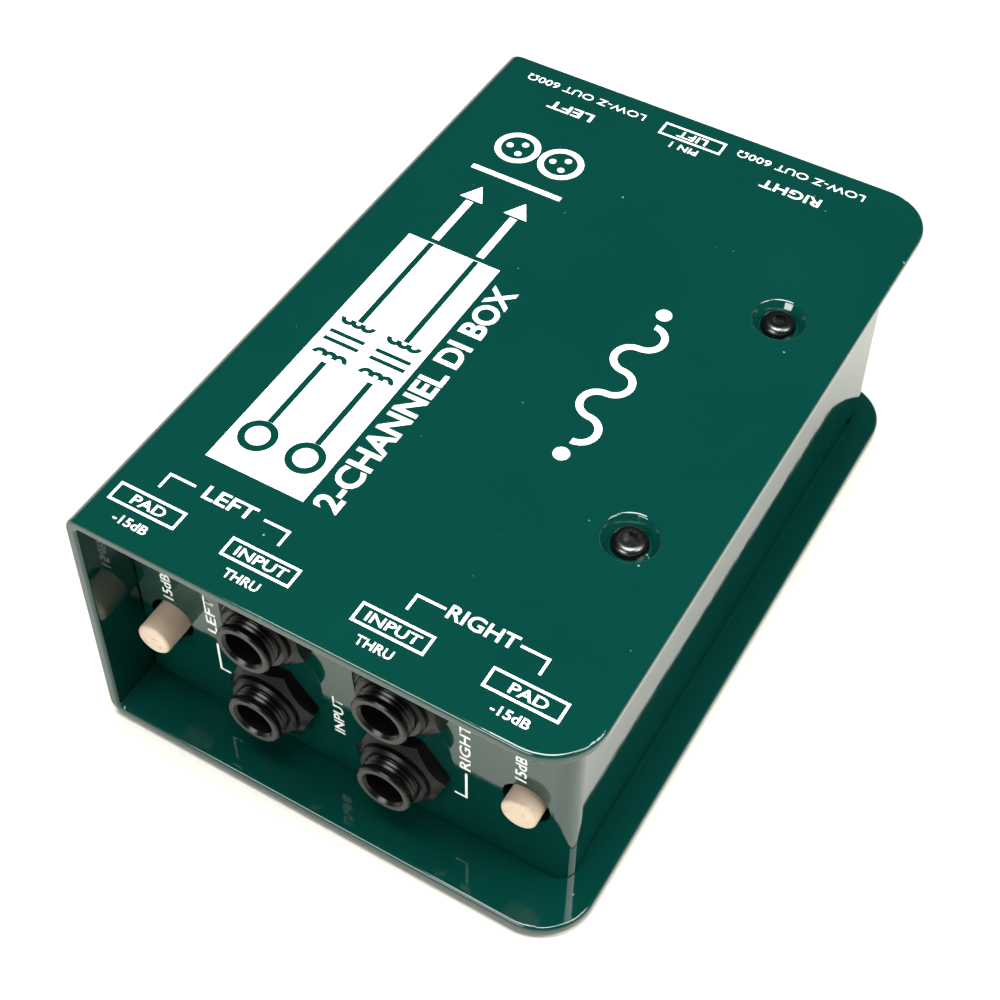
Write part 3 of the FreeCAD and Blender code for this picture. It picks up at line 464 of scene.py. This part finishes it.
# Plastics: colour, worn colour, roughness, grain size and depth
# Metals: colour, roughness, way of the lines, their size and depth, and a stain where it has one
looks = {
    "shell_enamel": enamel("shellEnamel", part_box("outer_shell")),
    "chassis_enamel": enamel("chassisEnamel"),
    "printed_ink": printedInk(),
    "pad_rubber": paddedRubber(),
    "black_screws": metal("blackOxide", (0.040, 0.050, 0.050), 0.27, alongZ, 0.0003, 0.000006,
                          (0.085, 0.082, 0.078)),
    "connector_screws": metal("screwZinc", (0.48, 0.48, 0.46), 0.26, alongY, 0.0003, 0.000006),
    "zinc_hardware": metal("zincPlate", (0.60, 0.61, 0.58), 0.34, allRound, 0.0005, 0.000008),
    "jack_plastic": plastic("jackBlack", (0.0026, 0.0028, 0.0026), (0.005, 0.005, 0.005), 0.25,
                            0.0005, 0.000010, specular=0.2),
    "nut_plastic": plastic("nutBlack", (0.0022, 0.0026, 0.0024), (0.004, 0.004, 0.004), 0.3,
                           0.0006, 0.000014, specular=0.16),
    "contact_brass": metal("contactBrass", (0.78, 0.62, 0.32), 0.25, alongY, 0.0003, 0.000005),
    "switch_plastic": plastic("switchBlack", (0.02, 0.02, 0.021), (0.035, 0.035, 0.035), 0.5,
                              0.0004, 0.00002),
    "spring_steel": metal("springSteel", (0.62, 0.62, 0.63), 0.22, allRound, 0.0002, 0.000004),
    "tinned_pins": metal("tinnedPins", (0.72, 0.72, 0.70), 0.32, alongZ, 0.0002, 0.000004),
    "connector_nickel": metal("satinNickel", (0.40, 0.39, 0.36), 0.30, alongY, 0.0005, 0.000008,
                              (0.33, 0.32, 0.29)),
    "insert_plastic": plastic("insertBlack", (0.014, 0.014, 0.014), (0.022, 0.022, 0.022), 0.5,
                              0.0004, 0.000010),
    "contact_silver": metal("contactSilver", (0.85, 0.83, 0.78), 0.18, alongY, 0.0003, 0.000004,
                            (0.66, 0.60, 0.50)),
    "board_laminate": circuitBoard(),
    "can_metal": metal("canMetal", (0.60, 0.58, 0.54), 0.36, alongZ, 0.0006, 0.00001),
    "core_steel": metal("coreSteel", (0.36, 0.36, 0.37), 0.4, alongX, 0.0005, 0.00002),
    "coil_copper": metal("coilCopper", (0.72, 0.33, 0.15), 0.3, inTurns, 0.0004, 0.00003),
    "resistor_coat": plastic("resistorCoat", (0.16, 0.42, 0.58), (0.12, 0.34, 0.50), 0.35,
                             0.0004, 0.00002),
    "capacitor_case": plastic("capacitorCase", (0.50, 0.06, 0.04), (0.40, 0.05, 0.04), 0.4,
                              0.0004, 0.00002),
}


def dressNodes():
    for row in frame["record"]["subparts"]:
        node, slot = row["node"], row["material_slot"]
        paint(nodes[node], capPlastic(node) if slot == "cap_plastic" else looks[slot])


dressNodes()
print("materials on the case and its parts")


printing = {
    "film": 0.04,
    "sunk": 0.01,
    "line": 0.42,
    "bold": 0.018,
    "curveSteps": 4,
}


# A printed rectangle by its middle
def bar(u, v, width, height):
    bpy.ops.mesh.primitive_plane_add(size=mm)
    piece = bpy.context.object
    selectOnly([piece])
    scale = Matrix.Diagonal((width, height, 1, 1))
    return moved(piece, placed(u, v) @ scale)


# A disc whose middle is taken out, where an inner radius is given
def ring(u, v, outer, inner, corners=48, degrees=0.0):
    bpy.ops.mesh.primitive_circle_add(vertices=corners, radius=outer * mm, fill_type="NGON")
    piece = bpy.context.object
    if inner:
        editAll(piece)
        bpy.ops.mesh.inset(thickness=(outer - inner) * math.cos(math.pi / corners) * mm)
        bpy.ops.mesh.delete(type="FACE")
        endEdit()
    return moved(piece, placed(u, v, degrees))


# The half of a ring that lies on one side of its middle
def halfRing(u, v, outer, inner, side):
    piece = ring(0, 0, outer, inner)
    editAll(piece)
    bpy.ops.mesh.bisect(plane_co=(0, 0, 0), plane_no=(side, 0, 0), clear_inner=True)
    endEdit()
    return moved(piece, placed(u, v))


# A rectangle's printed outline
def outlined(u, v, width, height):
    piece = bar(0, 0, width, height)
    editAll(piece)
    bpy.ops.mesh.inset(thickness=printing["line"] * mm)
    bpy.ops.mesh.delete(type="FACE")
    endEdit()
    return moved(piece, placed(u, v))


# Lettering fitted to a width and a height, flat, by its middle
def words(text, u, v, width, height, degrees=0.0, bold=printing["bold"]):
    bpy.ops.object.text_add()
    piece = bpy.context.object
    piece.data.body = text
    piece.data.resolution_u = printing["curveSteps"]
    piece.data.offset = bold
    piece.data.fill_mode = "FRONT"
    bpy.ops.object.convert(target="MESH")
    piece = bpy.context.object
    low = Vector([min(vertex.co[i] for vertex in piece.data.vertices) for i in range(3)])
    high = Vector([max(vertex.co[i] for vertex in piece.data.vertices) for i in range(3)])
    middle = (low + high) / 2
    across, up = width * mm / (high.x - low.x), height * mm / (high.y - low.y)
    fit = Matrix.Diagonal((across, up, 1, 1)) @ Matrix.Translation(-middle)
    return moved(piece, placed(u, v, degrees) @ fit)


# A right-angled bracket: one arm along u and one along v, from a corner
def corner(u, v, reachU, reachV):
    line = printing["line"]
    flat = bar(u + reachU / 2, v, abs(reachU) + line, line)
    upright = bar(u, v + reachV / 2 + math.copysign(line / 4, reachV), line, abs(reachV) - line / 2)
    return [flat, upright]


# Turns flat shapes into one thin film on a face. The matrix puts flat z outwards
def printedPiece(flats, name, matrix):
    piece = joined(flats, name)
    editAll(piece)
    bpy.ops.mesh.remove_doubles(threshold=mergeReach)
    bpy.ops.mesh.normals_make_consistent(inside=False)
    endEdit()
    applyModifier(piece, "SOLIDIFY", thickness=printing["film"] * mm, offset=0)
    lift = (printing["film"] / 2 - printing["sunk"]) * mm
    moved(piece, matrix @ Matrix.Translation((0, 0, lift)))
    paint(piece, looks["printed_ink"])
    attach(piece, "case")
    return piece


topFace = Matrix.Translation((0, 0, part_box("outer_shell")[1].z))
frontFace = (Matrix.Translation((0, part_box("inner_chassis")[0].y, 0))
             @ Matrix.Rotation(math.radians(90), 4, "X"))
alongCase = Matrix.Rotation(math.radians(90), 4, "Z")


jackLegend = {
    "frameWidth": 11.8,
    "frameHeight": 3.55,
    "frameV": -55.75,
    "belowV": -59.65,
    "letter": 1.75,
    "belowLetter": 1.575,
    "channelV": -49.35,
    "channelLetter": 2.5,
    "armDrop": -2.8,
    # frame's middle, word, its width and middle, lower word, its width and middle
    "jacks": [
        (-32.6, "PAD", 5.8, -32.3, "-15dB", 5.9, -32.6),
        (-12.8, "INPUT", 8.6, -12.65, "THRU", 5.9, -13.3),
        (9.1, "INPUT", 8.6, 9.2, "THRU", 5.9, 8.6),
        (29.9, "PAD", 5.8, 30.4, "-15dB", 5.9, 29.8),
    ],
    # word, its middle and width, places of both brackets and the reach of their arms
    "channels": [
        ("LEFT", -22.6, 8.8, -33.25, -12.35, 4.3, 4.1),
        ("RIGHT", 19.6, 10.9, 9.05, 29.9, 4.4, 4.2),
    ],
}


def framedWord(u, word, wordWidth, wordU, below, belowWidth, belowU):
    look = jackLegend
    return [
        outlined(u, look["frameV"], look["frameWidth"], look["frameHeight"]),
        words(word, wordU, look["frameV"], wordWidth, look["letter"]),
        words(below, belowU, look["belowV"], belowWidth, look["belowLetter"]),
    ]


# The name of a channel between the two brackets that gather its legends
def channelHeading(word, u, width, leftU, rightU, leftArm, rightArm):
    look = jackLegend
    heading = [words(word, u, look["channelV"], width, look["channelLetter"])]
    heading += corner(leftU, look["channelV"], leftArm, look["armDrop"])
    heading += corner(rightU, look["channelV"], -rightArm, look["armDrop"])
    return heading


def jackEdgeLegends():
    flats = []
    for row in jackLegend["jacks"]:
        flats += framedWord(*row)
    for row in jackLegend["channels"]:
        flats += channelHeading(*row)
    printedPiece(flats, "jackEdgeLegends", topFace)


outletLegend = {
    "line": "LOW-Z OUT 600Ω",
    "lineV": 59.0,
    "lineWidth": 23.6,
    "lineLetter": 1.75,
    "thin": 0.004,
    "nameV": 54.0,
    "nameLetter": 2.2,
    # middle of the line, name, its middle and width
    "channels": [(-23.4, "LEFT", -23.8, 8.8), (18.3, "RIGHT", 18.7, 11.0)],
    "lift": (-1.9, 58.4),
    "liftFrame": (11.9, 3.4),
    "liftWidth": 5.6,
    "pin": (-2.0, 55.05),
    "pinSize": (5.2, 1.5),
}


# These read from the output side, so they are turned right round
def outletEdgeLegends():
    look = outletLegend
    flats = []
    for lineU, name, nameU, nameWidth in look["channels"]:
        flats.append(words(look["line"], lineU, look["lineV"], look["lineWidth"],
                           look["lineLetter"], 180, look["thin"]))
        flats.append(words(name, nameU, look["nameV"], nameWidth, look["nameLetter"], 180))
    flats.append(outlined(*look["lift"], *look["liftFrame"]))
    flats.append(words("LIFT", *look["lift"], look["liftWidth"], look["lineLetter"], 180))
    flats.append(words("PIN 1", *look["pin"], *look["pinSize"], 180))
    printedPiece(flats, "outputEdgeLegends", topFace)


# Lengths along the panel count from its jack end
signalPanel = {
    "place": (-22.5, 2.2),
    "length": 92.0,
    "height": 17.3,
    "whiteLength": 56.0,
    "blankDepth": 0.5,
    "cutterDepth": 1.0,
    "channelV": 4.25,
    "stroke": 1.05,
    "jack": (7.0, 3.1, 1.9),
    "lead": (17.3, 14.4),
    "coils": [(25.6, 1), (34.4, -1)],
    "coilRadius": 1.15,
    "cores": [29.1, 30.9],
    "coreSize": (0.8, 6.4),
    "outLead": (45.2, 21.4),
    "arrowShaft": (62.5, 11.0, 1.365),
    "arrowHead": (69.7, 2.5),
    "divider": 76.2,
    "socket": (84.2, 4.05, 2.95),
    "contact": (1.55, 0.62),
    "contactTurns": (90, 210, 330),
}


# Three humps of a winding
def coilSymbol(u, v, side):
    radius, stroke = signalPanel["coilRadius"], signalPanel["stroke"]
    rise = 2 * radius - stroke / 2
    outer, inner = radius + stroke / 4, radius - stroke * 0.55
    return [halfRing(u, v + step * rise, outer, inner, side) for step in (-1, 0, 1)]


# What is cut out of the white panel for one channel: jack, lead, transformer and lead
def channelCut(start, v):
    look = signalPanel
    jackU, jackOuter, jackInner = look["jack"]
    holes = [ring(start + jackU, v, jackOuter, jackInner)]
    for u, length in (look["lead"], look["outLead"]):
        holes.append(bar(start + u, v, length, look["stroke"]))
    for u, side in look["coils"]:
        holes += coilSymbol(start + u, v, side)
    for u in look["cores"]:
        holes.append(bar(start + u, v, *look["coreSize"]))
    return holes


# What is printed past the panel for one channel: an arrow and a three-pin socket
def channelInk(start, v):
    look = signalPanel
    shaftU, shaftLength, shaftWidth = look["arrowShaft"]
    headU, headRadius = look["arrowHead"]
    socketU, socketOuter, socketInner = look["socket"]
    reach, radius = look["contact"]
    inked = [bar(start + shaftU, v, shaftLength, shaftWidth)]
    inked.append(ring(start + headU, v, headRadius, 0, 3, -90))
    inked.append(ring(start + socketU, v, socketOuter, socketInner))
    for degrees in look["contactTurns"]:
        turn = math.radians(degrees)
        u = start + socketU + reach * math.cos(turn)
        inked.append(ring(u, v + reach * math.sin(turn), radius, 0, 24))
    return inked


# A white panel with both channels cut out of it, and the ink beyond it
def signalPath():
    look = signalPanel
    start = -look["length"] / 2
    panel = bar(start + look["whiteLength"] / 2, 0, look["whiteLength"], look["height"])
    holes, inked = [], []
    for v in (look["channelV"], -look["channelV"]):
        holes += channelCut(start, v)
        inked += channelInk(start, v)
    inked.append(bar(start + look["divider"], 0, look["stroke"], look["height"]))
    holes = joined(holes, "holes")
    applyModifier(holes, "SOLIDIFY", thickness=look["cutterDepth"] * mm, offset=0)
    applyModifier(panel, "SOLIDIFY", thickness=look["blankDepth"] * mm, offset=0)
    applyModifier(panel, "BOOLEAN", operation="DIFFERENCE", solver="EXACT", use_self=True,
                  object=holes)
    bpy.data.objects.remove(holes)
    return [flattened(panel)] + inked


# Keeps only the upper faces of a thin solid, laid at height 0
def flattened(piece):
    selectOnly([piece])
    bpy.ops.object.mode_set(mode="EDIT")
    bpy.ops.mesh.select_mode(type="FACE")
    bpy.ops.mesh.select_all(action="DESELECT")
    endEdit()
    for face in piece.data.polygons:
        face.select = face.normal.z < 0.5
    bpy.ops.object.mode_set(mode="EDIT")
    bpy.ops.mesh.delete(type="FACE")
    endEdit()
    top = max(vertex.co.z for vertex in piece.data.vertices)
    return moved(piece, Matrix.Translation((0, 0, -top)))


waveMark = {
    "swing": 2.75,
    "stroke": 1.15,
    "halfWaves": 5,
    "dot": 1.3,
    "dotGap": 3.0,
    "place": (13.6, 0.0),
}


# A wave of half rings between two end dots
def makeWave():
    look = waveMark
    outer, inner = look["swing"] + look["stroke"] / 2, look["swing"] - look["stroke"] / 2
    reach = look["swing"] * look["halfWaves"]
    flats = []
    for i in range(look["halfWaves"]):
        u = -reach + look["swing"] * (2 * i + 1)
        flats.append(moved(halfRing(0, 0, outer, inner, 1), placed(u, 0, 90 if i % 2 else -90)))
    for side in (-1, 1):
        flats.append(ring(side * (reach + look["dotGap"]), 0, look["dot"], 0, 32))
    return flats


typeLine = {
    "text": "2-CHANNEL DI BOX",
    "width": 52.5,
    "height": 4.4,
    "bold": 0.028,
    "place": (-10.6, -17.2),
}


def titlePrint():
    look = typeLine
    printedPiece(signalPath(), "signalPanel", topFace @ placed(*signalPanel["place"]) @ alongCase)
    line = words(look["text"], 0, 0, look["width"], look["height"], bold=look["bold"])
    printedPiece([line], "typeLine", topFace @ placed(*look["place"]) @ alongCase)
    printedPiece(makeWave(), "waveMark", topFace @ placed(*waveMark["place"]) @ alongCase)


frontLegend = {
    "letter": 1.9,
    "words": [
        ("15dB", -33.9, 28.7, 6.3),
        ("LEFT", -25.9, 26.9, 9.2),
        ("INPUT", -3.0, 17.3, 9.5),
        ("RIGHT", 19.4, 26.8, 12.0),
        ("15dB", 28.7, 28.9, 6.5),
    ],
    "brackets": [(-25.4, 1.6), (19.6, -1.8)],
    "bracketEnds": [(13.1, 6.7), (39.6, -4.6)],
}


# Legends on the recessed panel read upwards
def frontLegends():
    look = frontLegend
    flats = [words(text, u, v, width, look["letter"], 90) for text, u, v, width in look["words"]]
    for u, reach in look["brackets"]:
        for v, rise in look["bracketEnds"]:
            flats += corner(u, v, reach, rise)
    printedPiece(flats, "frontPanelLegends", frontFace)


pinNumber = {
    "width": 0.9,
    "height": 1.5,
    "spots": [("1", -7.0, 2.4), ("2", 7.0, 2.4), ("3", 2.6, -5.4)],
}


# Moulded numbers beside the three contacts
def pinNumbers(side):
    look = pinNumber
    low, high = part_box(f"xlr_insert_{side}")
    middle = (low + high) / 2
    place = (Matrix.Translation((middle.x, high.y, middle.z)) @ Matrix.Rotation(math.pi, 4, "Z")
             @ Matrix.Rotation(math.radians(90), 4, "X"))
    flats = [words(text, u, v, look["width"], look["height"]) for text, u, v in look["spots"]]
    piece = printedPiece(flats, f"pinNumbers_{side}", place)
    paint(piece, looks["insert_plastic"])


# Name of the switch, its joint, and the corner of the spring's box that stays: 0 low, 1 high
returnSprings = [
    ("pad_left", "pad_left_slide", 1),
    ("lift", "lift_slide", 0),
]
springSmoothing = 40


# A return spring copied from its switch's own spring, smoothed, painted and fixed to the case, with
# the original hidden
def returnSpring(name, joint, fixedCorner):
    spring = bpy.data.objects.new(f"returnSpring_{name}", nodes[f"switch_spring_{name}"].data.copy())
    bpy.context.collection.objects.link(spring)
    editAll(spring)
    bpy.ops.mesh.remove_doubles(threshold=mergeReach)
    endEdit()
    bpy.ops.object.shade_smooth_by_angle(angle=math.radians(springSmoothing))
    paint(spring, looks["spring_steel"])
    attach(spring, "case")
    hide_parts(f"switch_spring_{name}")
    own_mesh(spring)


for row in returnSprings:
    returnSpring(*row)

jackEdgeLegends()
outletEdgeLegends()
titlePrint()
frontLegends()
for side in ("left", "right"):
    pinNumbers(side)
print("legends printed")


studio = {
    "floorRadius": 1.3,
    "floorColor": (0.62, 0.612, 0.56),
    "floorShade": 0.97,
    "floorRoughness": 0.7,
    "floorGloss": 0.1,
    "ceiling": 0.03,
    "horizon": (1.15, 1.13, 1.0),
    "horizonEnds": (0.02, 0.22),
    "aim": (0, 0, 0.02),
    # place and size in metres, power in watts
    "lamps": {
        "keyLight": ((0.0, -0.08, 1.75), (0.9, 0.9), 61),
        "fillLight": ((1.0, 0.15, 1.45), (0.7, 0.7), 26),
        "frontLight": ((-0.3, -1.5, 1.0), (0.9, 0.5), 23),
    },
}


def makeFloor():
    bpy.ops.mesh.primitive_circle_add(vertices=96, radius=studio["floorRadius"], fill_type="NGON")
    floor = bpy.context.object
    floor.name = "floor"
    roughness = studio["floorRoughness"]
    material, tree, shader = newMaterial("paleFloor", studio["floorColor"], roughness)
    grain = useEffect(tree, "grain", Size=0.002, Blotch=0.5, Roughness=roughness, Spread=0.05)
    shade = tuple(studio["floorShade"] * value for value in studio["floorColor"])
    color = blended(tree, grain["Blotches"], studio["floorColor"], shade)
    tree.links.new(color, shader.inputs["Base Color"])
    shader.inputs["Specular IOR Level"].default_value = studio["floorGloss"]
    floor.data.materials.append(material)


def softbox(name, place, size, power):
    bpy.ops.object.light_add(type="AREA", location=place)
    light = bpy.context.object
    light.name = name
    light.data.shape = "RECTANGLE"
    light.data.size, light.data.size_y = size
    light.data.energy = power
    aim = Vector(studio["aim"]) - Vector(place)
    light.rotation_euler = aim.to_track_quat("-Z", "Y").to_euler()


# Pale up to the horizon and dark overhead, so that gloss on the flat top stays deep
def makeSky():
    world = bpy.data.worlds.new("studio")
    world.use_nodes = True
    tree = world.node_tree
    background = tree.nodes["Background"]
    direction = tree.nodes.new("ShaderNodeTexCoord")
    split = tree.nodes.new("ShaderNodeSeparateXYZ")
    tree.links.new(direction.outputs["Generated"], split.inputs[0])
    rise = softStep(tree, split.outputs[2], *studio["horizonEnds"])
    overhead = (studio["ceiling"],) * 3
    tree.links.new(blended(tree, rise, studio["horizon"], overhead), background.inputs["Color"])
    bpy.context.scene.world = world


cameraView = {
    "location": (92.57, -173.94, 255.61),
    "turn": (42.957, -0.778, 30.206),
    "lens": 65.81,
    "shift": (-0.0067, -0.1211),
    "sensor": 36.0,
    "nearest": 10.0,
}


def makeCamera():
    bpy.ops.object.camera_add(location=[value * mm for value in cameraView["location"]])
    camera = bpy.context.object
    camera.rotation_euler = [math.radians(value) for value in cameraView["turn"]]
    camera.data.lens = cameraView["lens"]
    camera.data.sensor_width = cameraView["sensor"]
    camera.data.shift_x, camera.data.shift_y = cameraView["shift"]
    camera.data.clip_start = cameraView["nearest"] * mm
    bpy.context.scene.camera = camera


makeFloor()
makeSky()
for name, (place, size, power) in studio["lamps"].items():
    softbox(name, place, size, power)
makeCamera()
bpy.context.scene.view_settings.view_transform = "Standard"
print("studio ready")
